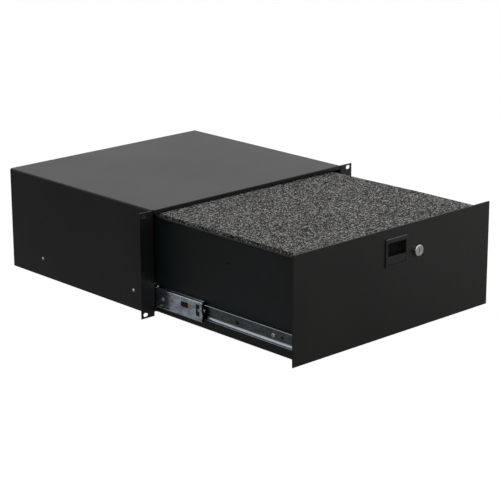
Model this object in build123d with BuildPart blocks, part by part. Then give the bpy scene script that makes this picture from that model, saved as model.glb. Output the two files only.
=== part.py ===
from build123d import *
import os
from math import cos, radians, sin

# A rack drawer of four units: a closed steel case bolted into the rack by two ears, and a
# foam-filled drawer that runs in it on telescopic ball slides, with a paddle latch and a key lock.
# +X is the right hand as seen from the front, -Y is the front and +Z is up. The origin is the
# centre of the four rack slots, on the rear face of the ears, which bears on the rack's rails.
# The drawer stands pulled out.

os.makedirs("parts", exist_ok=True)

# Case
rack_unit = 44.45
case_units = 4
case_relief = 0.8
rack_width = 482.6
ear_reach = 26.3
case_depth = 385.0
sheet = 1.5
bend_inner = 1.0
ear_bend = 1.4
lip_height = 6.4
corner_relief = 2.0
relief_depth = 3.0
rear_notch_radius = 1.8
base_sheet = 1.0
base_flange = 7.0
base_setback = 15.0
back_flange = 12.0
back_bend = 1.1
flange_clearance = 1.5

# Slots in the ears
slot_side_offset = 8.75
slot_end_offset = 12.7
slot_length = 10.0
slot_width = 7.0

# Front panel
panel_overhang = 7.4
panel_top_gap = 1.6
panel_foot_gap = 0.4
panel_sheet = 2.5
panel_edge = 0.4
panel_closing_gap = 0.6
cutout_clearance = 0.2
drawer_pull = 326.5
stud_diameter = 4.0
stud_length = 7.0
stud_spacing = 58.0
studs_per_side = 3
stud_clearance = 0.4
nut_across_flats = 7.0
nut_thickness = 3.2
thread_play = 0.05

# Drawer
drawer_sheet = 1.2
drawer_floor_gap = 0.5
drawer_back_gap = 18.6
side_bend = 0.5
rim_drop = 5.8
rim_width = 5.0
side_foot = 12.0
side_front_flange = 14.0
side_rear_flange = 12.0
flange_drop = 4.0
floor_flange = 12.0
floor_bend_reach = 0.8
back_fold = 8.0
divider_hole_diameter = 4.0
divider_hole_depth = 165.0
divider_hole_drop = 42.0

# Foam
foam_clearance = 0.6
foam_side_gap = 0.3
foam_front_setback = 14.0
pocket_depth = 6.0
pocket_margin = 3.0

# Telescopic slides, measured across from the case wall and up from the slide's middle line
slide_thickness = 12.7
slide_height = 45.7
slide_strip = 1.2
slide_centre_height = 31.7
slide_front_gap = 3.0
slide_rear_gap = 23.0
ball_diameter = 5.0
ball_clearance = 0.1
outer_corner = 2.0
outer_ball_inset = 4.7
middle_web_inset = 2.9
strip_bend = 1.2
hook_turn = 70.0
groove_turn = 45.0
flare_turn = 90.0
tip_turn = 45.0
middle_shortfall = 55.0
inner_shortfall = 6.0
inner_setback = 12.1
middle_ratio = 0.5

# Openings in the slides' webs, with depths from the member's own front end
adjust_slot_offset = 25.0
adjust_slot_length = 12.0
adjust_slot_width = 5.0
middle_hole_depths = (93.0, 200.0, 260.0)
middle_hole_diameter = 8.0
middle_hole_rise = 1.0
low_slot_depth = 90.0
low_slot_length = 24.0
low_slot_width = 4.0
low_slot_drop = 12.0
window_start = 24.0
window_length = 26.0
window_height = 8.6
window_rise = 3.8
window_corner = 1.5
inner_hole_depths = (32.0, 248.0)
inner_hole_diameter = 5.6
inner_slot_depth = 132.5
inner_slot_length = 9.0
inner_slot_width = 5.5

# Ball cages
cage_sheet = 0.5
cage_bend = 0.75
cage_length = 80.0
balls_per_row = 4
ball_pitch = 22.0
hole_play = 0.05
outer_cage_inset = 1.75
outer_cage_reach = 8.2
outer_cage_start = 14.0
inner_cage_inset = 4.6
inner_cage_slope = 1.6
inner_cage_reach = 12.3
inner_cage_start = 60.0
cage_windows = 2
cage_window_length = 22.0
cage_window_height = 16.0
cage_window_corner = 2.0

# Slide fixings and end stops; the second inner screw stands at a share of the way to the last
rivet_head_diameter = 5.5
rivet_head_height = 1.4
rivet_shank = 3.2
rivet_flare = 5.0
rivet_depths = (50.8, 296.9)
screw_head_diameter = 7.0
screw_head_height = 1.8
screw_shank = 4.0
inner_screw_front = 51.4
inner_screw_rear = 24.1
inner_screw_share = 0.583
bumper_length = 7.4
bumper_half_height = 8.0
bumper_reach = 8.0
bumper_corner = 2.0
bumper_gap = 0.6
front_bumper_start = 4.0
front_bumper_length = 10.7
front_bumper_height = 23.0
front_bumper_rise = 2.0
front_bumper_thickness = 1.7
stop_margin = 2.0
stop_play = 0.1
tongue_length = 4.5
tongue_height = 4.0
tail_end = 51.0
tail_height = 9.0
leaf_start = 24.5
leaf_length = 9.5
leaf_height = 8.0
leaf_thickness = 0.5

# Paddle latch, with depths from the panel's face and heights from the bezel's foot
bezel_width = 50.0
bezel_height = 46.0
bezel_top_drop = 15.9
bezel_proud = 2.2
bezel_corner = 3.0
bezel_edge = 0.9
bezel_border = 4.0
body_inset = 3.0
body_wall = 1.2
body_floor = 1.4
recess_height = 39.2
recess_depth = 8.5
recess_back_wall = 1.4
recess_corner = 1.0
bolt_width = 15.0
bolt_thickness = 3.2
bolt_side_play = 0.7
bolt_play = 0.3
channel_play = 0.5
bolt_travel = 4.0
bolt_overlap = 2.5
bolt_foot_height = 11.0
bolt_bevel = 2.7
nose_gap = 0.6
pivot_depth = 2.0
pivot_height = 13.5
pivot_diameter = 3.0
pivot_play = 0.05
barrel_radius = 2.7
post_thickness = 2.4
paddle_side_gap = 0.5
paddle_inset = 0.3
paddle_height = 17.0
paddle_plate = 1.6
paddle_edge = 0.8
ledge_thickness = 1.8
ledge_rear_gap = 1.1
tail_half_width = 5.0
tail_play = 0.4
tail_rise_play = 1.4
cover_thickness = 1.2
cover_half_width = 15.5
cover_foot_gap = 1.0
cover_head_gap = 2.0
cover_corner = 1.5
cover_screw_x = 12.0
cover_screw_radius = 1.5
cover_screw_head = 2.8
cover_screw_head_height = 1.4
cover_screw_bite = 3.6
cover_screw_inset = 5.5
spring_foot_height = 23.2
spring_length = 13.8
spring_radius = 1.35
spring_wire = 0.6
spring_turns = 5
spring_tab_width = 4.4
spring_tab_height = 2.0
spring_slot_width = 5.2

# Key lock
lock_x = 47.8
lock_top_drop = 46.1
lock_head_radius = 9.25
lock_head_proud = 6.3
lock_head_edge = 1.4
lock_barrel_radius = 8.0
lock_flats = 14.0
lock_nut_across = 20.0
lock_nut_thickness = 2.3
lock_seat_gap = 0.6
plug_radius = 5.7
plug_play = 0.1
plug_recess = 0.4
keyway_width = 1.7
keyway_height = 8.5
keyway_depth = 8.0
tail_square = 6.0
cam_gap = 0.2
cam_thickness = 2.0
cam_width = 12.0
cam_tip_width = 9.0
cam_tip_chamfer = 1.2
cam_top_gap = 1.7
cam_screw_radius = 1.5
cam_screw_head = 3.6
cam_screw_head_height = 1.8
cam_screw_bite = 4.5

# Planes and lines that several pieces share
case_width = rack_width - 2 * ear_reach
slot_spacing_x = rack_width - 2 * slot_side_offset
slot_spacing_z = case_units * rack_unit - slot_end_offset
half_width = case_width / 2
half_inside = half_width - sheet
half_height = (case_units * rack_unit - case_relief) / 2
case_height = 2 * half_height
case_rear = case_depth - sheet
inside_rear = case_rear - sheet
lip_bottom = half_height - lip_height
panel_width = case_width + 2 * panel_overhang
panel_top = half_height - panel_top_gap
panel_height = case_height - panel_top_gap - panel_foot_gap
panel_front = -(sheet + panel_closing_gap + panel_sheet + drawer_pull)
panel_back = panel_front + panel_sheet
lip_rear_depth = panel_sheet + panel_closing_gap + sheet
drawer_half = half_inside - slide_thickness
drawer_inside = drawer_half - drawer_sheet
drawer_foot = base_sheet + drawer_floor_gap - half_height
rim_height = lip_bottom - rim_drop
drawer_rear = inside_rear - drawer_back_gap - drawer_pull
floor_top = drawer_foot + 2 * drawer_sheet
stud_x = drawer_half - side_front_flange / 2
slide_z = slide_centre_height - half_height

# Slide lengths and places: closed, the three members end together behind the ears
outer_front = slide_front_gap
outer_rear = inside_rear - slide_rear_gap
outer_length = outer_rear - outer_front
middle_length = outer_length - middle_shortfall
middle_rear = outer_rear - bumper_length - bumper_gap - middle_ratio * drawer_pull
middle_front = middle_rear - middle_length
inner_front = panel_front + inner_setback
inner_length = outer_length - inner_shortfall
inner_rear = inner_front + inner_length
inner_screw_first = inner_front + inner_screw_front
inner_screw_last = inner_rear - inner_screw_rear
inner_screw_span = inner_screw_last - inner_screw_first
inner_screw_depths = [
    inner_screw_first + share * inner_screw_span for share in (0, inner_screw_share, 1)
]

# Ball rows: a ball runs in a groove of each member, half a strip outside its own radius
ball_radius = ball_diameter / 2
groove = ball_radius + ball_clearance + slide_strip / 2
outer_top = slide_height / 2 - slide_strip / 2
outer_ball = (outer_ball_inset, outer_top - groove)
inner_ball = (
    outer_ball[0] + 2 * groove * sin(radians(groove_turn)),
    outer_ball[1] - 2 * groove * cos(radians(groove_turn)),
)
middle_web_face = middle_web_inset + slide_strip / 2
inner_web_inset = slide_thickness - slide_strip / 2

# Latch heights and depths
bezel_top = panel_top - bezel_top_drop
bezel_bottom = bezel_top - bezel_height
latch_middle = (bezel_bottom + bezel_top) / 2
body_half_width = bezel_width / 2 - body_inset
body_bottom = bezel_bottom + body_inset
body_top = bezel_top - body_inset
recess_top = bezel_bottom + recess_height
recess_half = body_half_width - body_wall
recess_foot = body_bottom + body_floor
channel_front = recess_depth + recess_back_wall
bolt_front = channel_front + channel_play
bolt_rear = bolt_front + bolt_thickness
channel_rear = bolt_rear + bolt_play
bolt_foot = bezel_bottom + bolt_foot_height
bolt_top = lip_bottom + bolt_overlap
nose_front = lip_rear_depth + bolt_play
nose_foot = body_top + bolt_travel + nose_gap
pivot_z = bezel_bottom + pivot_height
paddle_top = bezel_bottom + paddle_height
window_foot = paddle_top - ledge_thickness - tail_play
window_head = paddle_top + tail_rise_play
cover_foot = body_bottom + cover_foot_gap
cover_head = body_top - cover_head_gap
cover_screw_places = [
    (x, z)
    for x in (-cover_screw_x, cover_screw_x)
    for z in (body_bottom + cover_screw_inset, body_top - cover_screw_inset)
]
spring_bottom = bezel_bottom + spring_foot_height
spring_top = spring_bottom + spring_length

# Lock heights and depths
lock_z = panel_top - lock_top_drop
lock_barrel_length = lip_rear_depth + lock_seat_gap
cam_front = lock_barrel_length + cam_gap
cam_rear = cam_front + cam_thickness
cam_reach = half_height - sheet - cam_top_gap - lock_z


def save(piece, name):
    """Label a finished piece and write it under its own name."""
    piece.label = name
    export_step(piece, f"parts/{name}.step")


def save_pair(left, name):
    """Write a left-hand piece and its mirror image on the right."""
    save(left, f"{name}_left")
    save(mirror(left, about=Plane.YZ), f"{name}_right")


def facing_front(y):
    """A plane across the object at depth y: sketch X is +X, sketch Y is +Z, and it extrudes forward."""
    return Plane(origin=(0, y, 0), x_dir=(1, 0, 0), z_dir=(0, -1, 0))


def slide_section(y):
    """The same, with its origin on the left case wall at the slide's middle line."""
    return Plane(origin=(-half_inside, y, slide_z), x_dir=(1, 0, 0), z_dir=(0, -1, 0))


def slide_web(inset):
    """A plane on a slide's web: sketch X runs to the front, sketch Y is +Z, and it extrudes outwards."""
    return Plane(origin=(-half_inside + inset, 0, slide_z), x_dir=(0, -1, 0), z_dir=(-1, 0, 0))


# Case shell: one folded sheet with top, sides, front lip and ears
def case_shell():
    front = facing_front(-sheet)
    with BuildPart() as shell:
        with BuildSketch(facing_front(case_rear)) as wrap:
            Rectangle(case_width, case_height)
            fillet(wrap.vertices().group_by(Axis.Y)[-1], radius=bend_inner + sheet)
            with BuildSketch(mode=Mode.SUBTRACT) as room:
                with Locations((0, -half_height)):
                    Rectangle(2 * half_inside, case_height - sheet, align=(Align.CENTER, Align.MIN))
                fillet(room.vertices().group_by(Axis.Y)[-1], radius=bend_inner)
        extrude(amount=case_depth)
        with BuildSketch(front) as lip:
            with Locations((0, half_height)):
                Rectangle(2 * half_inside, lip_height, align=(Align.CENTER, Align.MAX))
        extrude(amount=-sheet)
        with BuildSketch(front) as ears:
            Rectangle(rack_width, case_height)
            Rectangle(2 * half_inside, case_height, mode=Mode.SUBTRACT)
            with GridLocations(slot_spacing_x, slot_spacing_z, 2, 2):
                SlotOverall(slot_length, slot_width, mode=Mode.SUBTRACT)
        extrude(amount=-sheet)
        lip_edge = shell.edges().filter_by(Axis.X).group_by(Axis.Z)[-1].sort_by(Axis.Y)[0]
        fillet(lip_edge, radius=bend_inner)
        with BuildSketch(Plane.XY.offset(half_height)):
            with Locations(*[(side * (half_inside - corner_relief / 2), -sheet) for side in (-1, 1)]):
                Rectangle(corner_relief, relief_depth + sheet, align=(Align.CENTER, Align.MIN))
        extrude(amount=-lip_height, mode=Mode.SUBTRACT)
        uprights = shell.edges().filter_by(Axis.Z).group_by(Axis.Y)[0]
        ear_bends = uprights.filter_by(lambda e: abs(abs(e.center().X) - half_inside) < sheet / 2)
        fillet(ear_bends, radius=ear_bend)
        with Locations(*[(side * half_width, case_rear, half_height) for side in (-1, 1)]):
            Sphere(rear_notch_radius, mode=Mode.SUBTRACT)
    return shell.part


# Case base: a tray whose low side flanges are welded inside the case's sides
def case_base():
    with BuildPart() as base:
        with BuildSketch(facing_front(inside_rear)):
            with BuildLine():
                edge_x = half_inside - base_sheet / 2
                foot_z = base_sheet / 2 - half_height
                FilletPolyline(
                    (-edge_x, base_flange - half_height),
                    (-edge_x, foot_z),
                    (edge_x, foot_z),
                    (edge_x, base_flange - half_height),
                    radius=bend_inner + base_sheet / 2,
                )
            trace(line_width=base_sheet)
        extrude(amount=inside_rear - base_setback)
    return base.part


# Case back: a plain panel with a flange that goes forward inside the shell
def case_back():
    back_top = half_height - sheet
    flange_foot = base_flange - half_height + flange_clearance
    with BuildPart() as back:
        with BuildSketch(facing_front(case_rear)):
            with Locations((0, back_top)):
                Rectangle(2 * half_inside, case_height - sheet, align=(Align.CENTER, Align.MAX))
        extrude(amount=sheet)
        with BuildSketch(facing_front(inside_rear)):
            with Locations((0, back_top)):
                Rectangle(2 * half_inside, back_top - flange_foot, align=(Align.CENTER, Align.MAX))
                with Locations((0, -sheet)):
                    Rectangle(
                        2 * (half_inside - sheet),
                        back_top - flange_foot,
                        align=(Align.CENTER, Align.MAX),
                        mode=Mode.SUBTRACT,
                    )
        extrude(amount=back_flange)
        top_edges = back.edges().filter_by(Axis.Y).group_by(Axis.Z)[-1]
        fillet(top_edges, radius=back_bend)
    return back.part


# Strips of the slides, each half a section drawn up from the middle line and mirrored down
def outer_strip(y, length):
    with BuildPart() as strip:
        with BuildSketch(slide_section(y)):
            with BuildLine():
                web_x = slide_strip / 2
                Line((web_x, 0), (web_x, outer_top - outer_corner))
                CenterArc((web_x + outer_corner, outer_top - outer_corner), outer_corner, 180, -90)
                Line((web_x + outer_corner, outer_top), (outer_ball[0], outer_top))
                CenterArc(outer_ball, groove, 90, -hook_turn)
            trace(line_width=slide_strip)
            mirror(about=Plane.XZ)
        extrude(amount=length)
    return strip.part


def middle_strip(y, length):
    groove_floor = outer_ball[1] - groove
    bend = (middle_web_inset + strip_bend, groove_floor - strip_bend)
    with BuildPart() as strip:
        with BuildSketch(slide_section(y)):
            with BuildLine():
                Line((middle_web_inset, 0), (middle_web_inset, bend[1]))
                CenterArc(bend, strip_bend, 180, -90)
                Line((bend[0], groove_floor), (outer_ball[0], groove_floor))
                CenterArc(outer_ball, groove, 270, groove_turn)
                CenterArc(inner_ball, groove, 90 + groove_turn, -flare_turn)
            trace(line_width=slide_strip)
            mirror(about=Plane.XZ)
        extrude(amount=length)
    return strip.part


def inner_strip(y, length):
    groove_floor = inner_ball[1] - groove
    bend = (inner_web_inset - strip_bend, groove_floor - strip_bend)
    with BuildPart() as strip:
        with BuildSketch(slide_section(y)):
            with BuildLine():
                Line((inner_web_inset, 0), (inner_web_inset, bend[1]))
                CenterArc(bend, strip_bend, 0, 90)
                Line((bend[0], groove_floor), (inner_ball[0], groove_floor))
                CenterArc(inner_ball, groove, 270, -tip_turn)
            trace(line_width=slide_strip)
            mirror(about=Plane.XZ)
        extrude(amount=length)
    return strip.part


def at_depths(depths, start=0.0, rise=0.0):
    """Sketch places on a slide's web, at depths measured to the rear from start."""
    return [(-(start + depth), rise) for depth in depths]


# Outer member: fixed to the case, with its rivet holes and two adjusting slots
def outer_member():
    with BuildPart() as member:
        add(outer_strip(outer_rear, outer_length))
        with BuildSketch(slide_web(slide_strip)):
            with Locations(*at_depths(rivet_depths)):
                Circle(rivet_shank / 2)
            with Locations(*at_depths([depth + adjust_slot_offset for depth in rivet_depths])):
                SlotOverall(adjust_slot_length, adjust_slot_width)
        extrude(amount=slide_strip, mode=Mode.SUBTRACT)
        with Locations(*[
            Plane(origin=(-half_inside + slide_strip, depth, slide_z), z_dir=(1, 0, 0))
            for depth in rivet_depths
        ]):
            CounterSinkHole(rivet_shank / 2, rivet_flare / 2, depth=slide_strip)
    return member.part


def stop_opening(play):
    """The front bumper's opening in the middle web, with a tongue of sheet in it; play shrinks it."""
    length = front_bumper_length - stop_margin - 2 * play
    height = front_bumper_height - 2 * stop_margin - 2 * play
    centre = middle_front + front_bumper_start + front_bumper_length / 2
    with BuildSketch() as opening:
        with Locations((-centre, front_bumper_rise)):
            Rectangle(length, height)
            with Locations((length / 2, 0)):
                Rectangle(2 * tongue_length, tongue_height + 2 * play, mode=Mode.SUBTRACT)
    return opening.sketch


# Middle member: its web shows at the front, with a hole, a low slot, a window and a stop opening
def middle_member():
    with BuildPart() as member:
        add(middle_strip(middle_rear, middle_length))
        with BuildSketch(slide_web(middle_web_face)):
            with Locations(*at_depths(middle_hole_depths, middle_front, middle_hole_rise)):
                Circle(middle_hole_diameter / 2)
            with Locations(*at_depths([low_slot_depth], middle_front, -low_slot_drop)):
                SlotOverall(low_slot_length, low_slot_width)
            with Locations(*at_depths([window_start + window_length / 2], middle_front, window_rise)):
                RectangleRounded(window_length, window_height, window_corner)
            add(stop_opening(0))
        extrude(amount=slide_strip, mode=Mode.SUBTRACT)
    return member.part


# Inner member: screwed to the drawer's side
def inner_member():
    with BuildPart() as member:
        add(inner_strip(inner_rear, inner_length))
        with BuildSketch(slide_web(slide_thickness)):
            with Locations(*at_depths(inner_screw_depths)):
                Circle(screw_shank / 2)
            with Locations(*at_depths(inner_hole_depths, inner_front)):
                Circle(inner_hole_diameter / 2)
            with Locations(*at_depths([inner_slot_depth], inner_front)):
                SlotOverall(inner_slot_length, inner_slot_width)
        extrude(amount=slide_strip, mode=Mode.SUBTRACT)
    return member.part


def cage_ball_depths(start):
    """Depths of the balls of one row, centred in a cage that begins at start."""
    first = start + (cage_length - (balls_per_row - 1) * ball_pitch) / 2
    return [first + n * ball_pitch for n in range(balls_per_row)]


def cage_openings(ball, web_inset, start):
    """The ball holes of a cage, through both rows, and the windows of its web."""
    holes = [(ball[0] - half_inside, depth, slide_z) for depth in cage_ball_depths(start)]
    windows = [cage_length * (n + 0.5) / cage_windows for n in range(cage_windows)]
    with BuildPart() as openings:
        with Locations(*holes):
            Cylinder(ball_radius + hole_play, slide_height)
        with BuildSketch(slide_web(web_inset + cage_sheet)):
            with Locations(*at_depths(windows, start)):
                RectangleRounded(cage_window_length, cage_window_height, cage_window_corner)
        extrude(amount=2 * cage_sheet)
    return openings.part


# Outer cage: keeps the balls between the outer and the middle member
def outer_cage():
    with BuildPart() as cage:
        with BuildSketch(slide_section(outer_cage_start + cage_length)):
            with BuildLine():
                FilletPolyline(
                    (outer_cage_inset, 0),
                    (outer_cage_inset, outer_ball[1]),
                    (outer_cage_reach, outer_ball[1]),
                    radius=cage_bend,
                )
            trace(line_width=cage_sheet)
            mirror(about=Plane.XZ)
        extrude(amount=cage_length)
        add(cage_openings(outer_ball, outer_cage_inset, outer_cage_start), mode=Mode.SUBTRACT)
    return cage.part


# Inner cage: slopes past the tip of the inner member to reach its balls
def inner_cage():
    start = middle_front + inner_cage_start
    with BuildPart() as cage:
        with BuildSketch(slide_section(start + cage_length)):
            with BuildLine():
                FilletPolyline(
                    (inner_cage_inset, 0),
                    (inner_cage_inset, inner_ball[1] - inner_cage_slope),
                    (inner_cage_inset + inner_cage_slope, inner_ball[1]),
                    (inner_cage_reach, inner_ball[1]),
                    radius=cage_bend,
                )
            trace(line_width=cage_sheet)
            mirror(about=Plane.XZ)
        extrude(amount=cage_length)
        add(cage_openings(inner_ball, inner_cage_inset, start), mode=Mode.SUBTRACT)
    return cage.part


def ball_rows(ball, start):
    """Both rows of balls of one cage, above and below the middle line."""
    with BuildPart() as balls:
        for row in (-1, 1):
            for depth in cage_ball_depths(start):
                with Locations((ball[0] - half_inside, depth, slide_z + row * ball[1])):
                    Sphere(ball_radius)
    return balls.part


# Rear bumper: a moulded stop clipped into the end of the outer member
def rear_bumper():
    with BuildPart() as bumper:
        with BuildSketch(slide_section(outer_rear)) as block:
            with Locations(((slide_strip + bumper_reach) / 2, 0)):
                Rectangle(bumper_reach - slide_strip, 2 * bumper_half_height)
            fillet(block.vertices().group_by(Axis.X)[-1], radius=bumper_corner)
        extrude(amount=bumper_length)
    return bumper.part


# Front bumper: a moulded stop behind the middle web, a nub in its opening and a tail to the window
def middle_bumper():
    body_x = middle_web_face + front_bumper_thickness
    tail_length = tail_end - front_bumper_start
    with BuildPart() as bumper:
        with BuildSketch(slide_web(body_x)):
            body_centre = front_bumper_start + front_bumper_length / 2
            with Locations(*at_depths([body_centre], middle_front, front_bumper_rise)):
                RectangleRounded(front_bumper_length, front_bumper_height, stop_margin / 2)
        extrude(amount=front_bumper_thickness)
        with BuildSketch(slide_web(body_x)):
            with Locations(*at_depths([front_bumper_start + tail_length / 2], middle_front, window_rise)):
                RectangleRounded(tail_length, tail_height, stop_margin)
        extrude(amount=front_bumper_thickness - leaf_thickness)
        with BuildSketch(slide_web(middle_web_face)):
            add(stop_opening(stop_play))
        extrude(amount=slide_strip - leaf_thickness)
    return bumper.part


# Detent leaf: a thin spring leaf on the bumper's tail, behind the window of the middle member
def detent_leaf():
    with BuildPart() as leaf:
        with BuildSketch(slide_web(middle_web_face + leaf_thickness)):
            with Locations(*at_depths([leaf_start + leaf_length / 2], middle_front, window_rise)):
                RectangleRounded(leaf_length, leaf_height, window_corner)
        extrude(amount=leaf_thickness)
    return leaf.part


# Slide rivet: domed head outside the case, shank, and a flare that is flush inside the slide
def slide_rivet():
    with BuildPart() as rivet:
        with BuildSketch(Plane.XY):
            with BuildLine():
                head = rivet_head_diameter / 2
                dome_radius = (head**2 + rivet_head_height**2) / (2 * rivet_head_height)
                shank = rivet_shank / 2
                tip = sheet + slide_strip
                flare = (rivet_flare - rivet_shank) / 2
                Line((0, 0), (tip, 0))
                Line((tip, 0), (tip, shank + flare))
                Line((tip, shank + flare), (tip - flare, shank))
                Line((tip - flare, shank), (0, shank))
                Line((0, shank), (0, head))
                RadiusArc((0, head), (-rivet_head_height, 0), -dome_radius)
                Line((-rivet_head_height, 0), (0, 0))
            make_face()
        revolve(axis=Axis.X)
    return rivet.part


def slide_rivets():
    rivet = slide_rivet()
    with BuildPart() as rivets:
        for depth in rivet_depths:
            with Locations((-half_width, depth, slide_z)):
                add(rivet)
        mirror(about=Plane.YZ)
    return rivets.part


# Case sides need the rivets' holes
def drilled_shell():
    with BuildPart() as shell:
        add(case_shell())
        with BuildSketch(Plane(origin=(-half_width, 0, slide_z), x_dir=(0, -1, 0), z_dir=(-1, 0, 0))):
            with Locations(*at_depths(rivet_depths)):
                Circle(rivet_shank / 2)
        extrude(amount=-case_width, mode=Mode.SUBTRACT)
    return shell.part


# Inner screws: pan heads in the inner members' channels, ending flush inside the drawer
def inner_screws():
    with BuildPart() as screws:
        for depth in inner_screw_depths:
            web_x = -half_inside + slide_thickness - slide_strip
            seat = Plane(origin=(web_x, depth, slide_z), x_dir=(0, 1, 0), z_dir=(1, 0, 0))
            with BuildSketch(seat):
                Circle(screw_head_diameter / 2)
            extrude(amount=-screw_head_height)
            with BuildSketch(seat):
                Circle(screw_shank / 2)
            extrude(amount=slide_strip + drawer_sheet)
        mirror(about=Plane.YZ)
    return screws.part


def stud_heights():
    """Heights of the panel's weld studs on each side."""
    return [(n - (studs_per_side - 1) / 2) * stud_spacing for n in range(studs_per_side)]


# Drawer side: a wall with its rim turned out, a foot under the floor, and two upright flanges
def drawer_side():
    flange_height = rim_height - flange_drop - floor_top
    with BuildPart() as side:
        with BuildSketch(facing_front(drawer_rear)):
            with BuildLine():
                wall_x = -(drawer_half - drawer_sheet / 2)
                FilletPolyline(
                    (-(drawer_half - side_foot), drawer_foot + drawer_sheet / 2),
                    (wall_x, drawer_foot + drawer_sheet / 2),
                    (wall_x, rim_height - drawer_sheet / 2),
                    (-(drawer_half + rim_width), rim_height - drawer_sheet / 2),
                    radius=side_bend + drawer_sheet / 2,
                )
            trace(line_width=drawer_sheet)
        extrude(amount=drawer_rear - panel_back)
        with BuildSketch(facing_front(panel_back)):
            with Locations((-drawer_half, floor_top)):
                Rectangle(side_front_flange, flange_height, align=(Align.MIN, Align.MIN))
            with Locations(*[(-stud_x, z) for z in stud_heights()]):
                Circle((stud_diameter + stud_clearance) / 2, mode=Mode.SUBTRACT)
        extrude(amount=-drawer_sheet)
        with BuildSketch(facing_front(drawer_rear - drawer_sheet)):
            with Locations((-drawer_half, floor_top)):
                Rectangle(side_rear_flange, flange_height, align=(Align.MIN, Align.MIN))
        extrude(amount=drawer_sheet)
        with BuildSketch(slide_web(slide_thickness)):
            with Locations(*at_depths(inner_screw_depths)):
                Circle(screw_shank / 2)
            with Locations((-(panel_front + divider_hole_depth), rim_height - divider_hole_drop - slide_z)):
                Circle(divider_hole_diameter / 2)
        extrude(amount=-2 * drawer_sheet, mode=Mode.SUBTRACT)
    return side.part


# Drawer bottom: a sheet on the sides' feet, turned up behind the panel
def drawer_bottom():
    between = 2 * (drawer_half - side_front_flange)
    with BuildPart() as bottom:
        with BuildSketch(Plane.XY.offset(floor_top - drawer_sheet)):
            with Locations((0, panel_back + drawer_sheet)):
                Rectangle(
                    2 * (drawer_inside - side_bend),
                    drawer_rear - 2 * drawer_sheet - panel_back,
                    align=(Align.CENTER, Align.MIN),
                )
        extrude(amount=drawer_sheet)
        with BuildSketch(facing_front(panel_back)):
            with Locations((0, floor_top - drawer_sheet)):
                Rectangle(between, floor_flange, align=(Align.CENTER, Align.MIN))
        extrude(amount=-drawer_sheet - floor_bend_reach)
    return bottom.part


# Drawer back: a sheet between the sides, with a stiffening fold to the rear along its top
def drawer_back():
    back_foot = drawer_foot + drawer_sheet + side_bend
    with BuildPart() as back:
        with BuildSketch(facing_front(drawer_rear)):
            with Locations((0, rim_height)):
                Rectangle(2 * drawer_inside, rim_height - back_foot, align=(Align.CENTER, Align.MAX))
        extrude(amount=drawer_sheet)
        with BuildSketch(facing_front(drawer_rear)):
            with Locations((0, rim_height)):
                Rectangle(2 * (drawer_half - side_foot), drawer_sheet, align=(Align.CENTER, Align.MAX))
        extrude(amount=-back_fold)
    return back.part


# Front panel: a plain plate with eased edges, the latch's and the lock's cut-outs, and weld studs
def front_panel():
    with BuildPart() as panel:
        with BuildSketch(facing_front(panel_back)):
            with Locations((0, panel_top)):
                Rectangle(panel_width, panel_height, align=(Align.CENTER, Align.MAX))
        extrude(amount=panel_sheet)
        chamfer(panel.faces().sort_by(Axis.Y)[0].edges(), length=panel_edge)
        with BuildSketch(facing_front(panel_back)):
            with Locations((0, latch_middle)):
                Rectangle(
                    2 * (body_half_width + cutout_clearance), body_top - body_bottom + 2 * cutout_clearance
                )
            with Locations((lock_x, lock_z)):
                Circle(lock_barrel_radius + cutout_clearance)
        extrude(amount=panel_sheet, mode=Mode.SUBTRACT)
        with BuildSketch(facing_front(panel_back)):
            with Locations(*[(side * stud_x, z) for side in (-1, 1) for z in stud_heights()]):
                Circle(stud_diameter / 2)
        extrude(amount=-stud_length)
    return panel.part


# Panel nuts: one on each weld stud, against the drawer sides' front flanges
def panel_nuts():
    with BuildPart() as nuts:
        with BuildSketch(facing_front(panel_back + drawer_sheet)):
            with Locations(*[(side * stud_x, z) for side in (-1, 1) for z in stud_heights()]):
                RegularPolygon(nut_across_flats / 2, 6, major_radius=False)
                Circle(stud_diameter / 2 + thread_play, mode=Mode.SUBTRACT)
        extrude(amount=-nut_thickness)
    return nuts.part


# Foam block: fills the drawer and stands proud of its rim, with a closed pocket behind latch and lock
def foam_block():
    foam_front = panel_front + foam_front_setback
    foam_length = drawer_rear - 2 * drawer_sheet - foam_side_gap - foam_front
    pocket_left = -body_half_width - pocket_margin
    pocket_right = lock_x + cam_screw_head + pocket_margin
    with BuildPart() as foam:
        with BuildSketch(Plane.XY.offset(floor_top)):
            with Locations((0, foam_front)):
                Rectangle(2 * (drawer_inside - foam_side_gap), foam_length, align=(Align.CENTER, Align.MIN))
        extrude(amount=lip_bottom - foam_clearance - floor_top)
        with BuildSketch(facing_front(foam_front)):
            with Locations(((pocket_left + pocket_right) / 2, latch_middle)):
                Rectangle(pocket_right - pocket_left, bezel_height)
        extrude(amount=-pocket_depth, mode=Mode.SUBTRACT)
    return foam.part


def behind_panel(depth):
    """A plane across the object at a depth behind the panel's face, extruding to the rear."""
    return Plane(origin=(0, panel_front + depth, 0), x_dir=(-1, 0, 0), z_dir=(0, 1, 0))


def across_latch(half):
    """A plane across the latch's width on the pivot's axis, half its width to the left."""
    return Plane(origin=(-half, panel_front + pivot_depth, pivot_z), x_dir=(0, 1, 0), z_dir=(1, 0, 0))


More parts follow.
